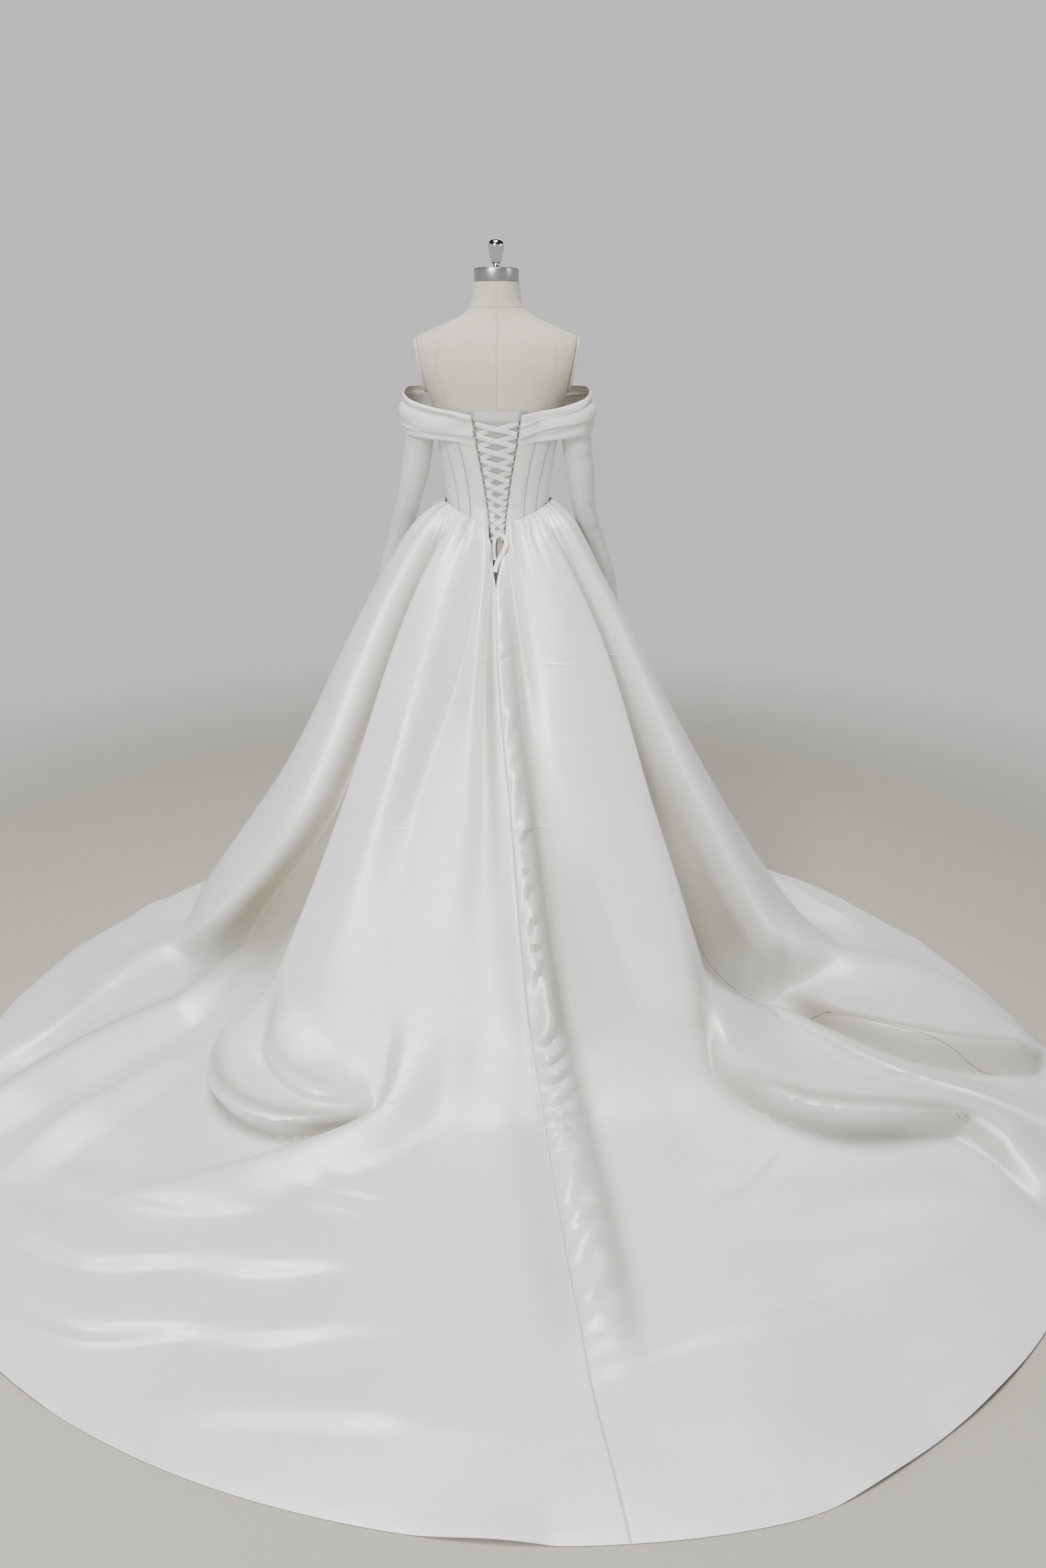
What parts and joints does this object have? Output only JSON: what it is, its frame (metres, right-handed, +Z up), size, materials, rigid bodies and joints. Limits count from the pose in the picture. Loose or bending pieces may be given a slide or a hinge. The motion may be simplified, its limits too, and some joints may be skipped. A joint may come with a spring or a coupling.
{
  "type": "wedding dress on a dress form",
  "caption": "Off-the-shoulder wedding dress with long sleeves, laced corset back, gathered satin skirt and spread train, standing on a limbless dress form with a pole and a round base.",
  "frame": {"origin": "centre of the form base's underside, on the floor", "axes": "+Z up along the form's pole, +Y towards the wearer's front, so that the laced back and the train point to -Y"},
  "size_m": [2.3573, 2.4032, 1.686],
  "materials": {
    "satin": "off-white duchess satin with a soft sheen",
    "ribbon": "off-white satin ribbon and elastic cord",
    "form_linen": "warm beige linen cover, matte",
    "brushed_steel": "brushed steel",
    "chrome": "polished chrome"
  },
  "bodies": {
    "root": {"bodice_center_back_right": "satin", "bodice_center_back_left": "satin", "bodice_side_back_right": "satin", "bodice_side_back_left": "satin", "bodice_side_right": "satin", "bodice_side_left": "satin", "bodice_front_side_right": "satin", "bodice_front_side_left": "satin", "bodice_center_front": "satin", "modesty_panel": "satin", "collar_right": "satin", "collar_left": "satin", "sleeve_upper_right": "satin", "sleeve_under_right": "satin", "sleeve_upper_left": "satin", "sleeve_under_left": "satin", "skirt_back_right": "satin", "skirt_side_right": "satin", "skirt_front": "satin", "skirt_side_left": "satin", "skirt_back_left": "satin", "lace_over_1": "ribbon", "lace_over_2": "ribbon", "lace_over_3": "ribbon", "lace_over_4": "ribbon", "lace_over_5": "ribbon", "lace_over_6": "ribbon", "lace_over_7": "ribbon", "lace_over_8": "ribbon", "lace_over_9": "ribbon", "lace_over_10": "ribbon", "lace_under_1": "ribbon", "lace_under_2": "ribbon", "lace_under_3": "ribbon", "lace_under_4": "ribbon", "lace_under_5": "ribbon", "lace_under_6": "ribbon", "lace_under_7": "ribbon", "lace_under_8": "ribbon", "lace_under_9": "ribbon", "lace_under_10": "ribbon", "lace_loop_cord_right": "ribbon", "lace_loop_cord_left": "ribbon", "lace_hanging_loop": "ribbon", "lace_tail": "ribbon", "form_torso": "form_linen", "form_arm_plate_right": "form_linen", "form_arm_plate_left": "form_linen", "form_neck_cap": "brushed_steel", "form_knob": "chrome", "form_pole": "brushed_steel", "form_base": "brushed_steel"}
  },
  "joints": []
}
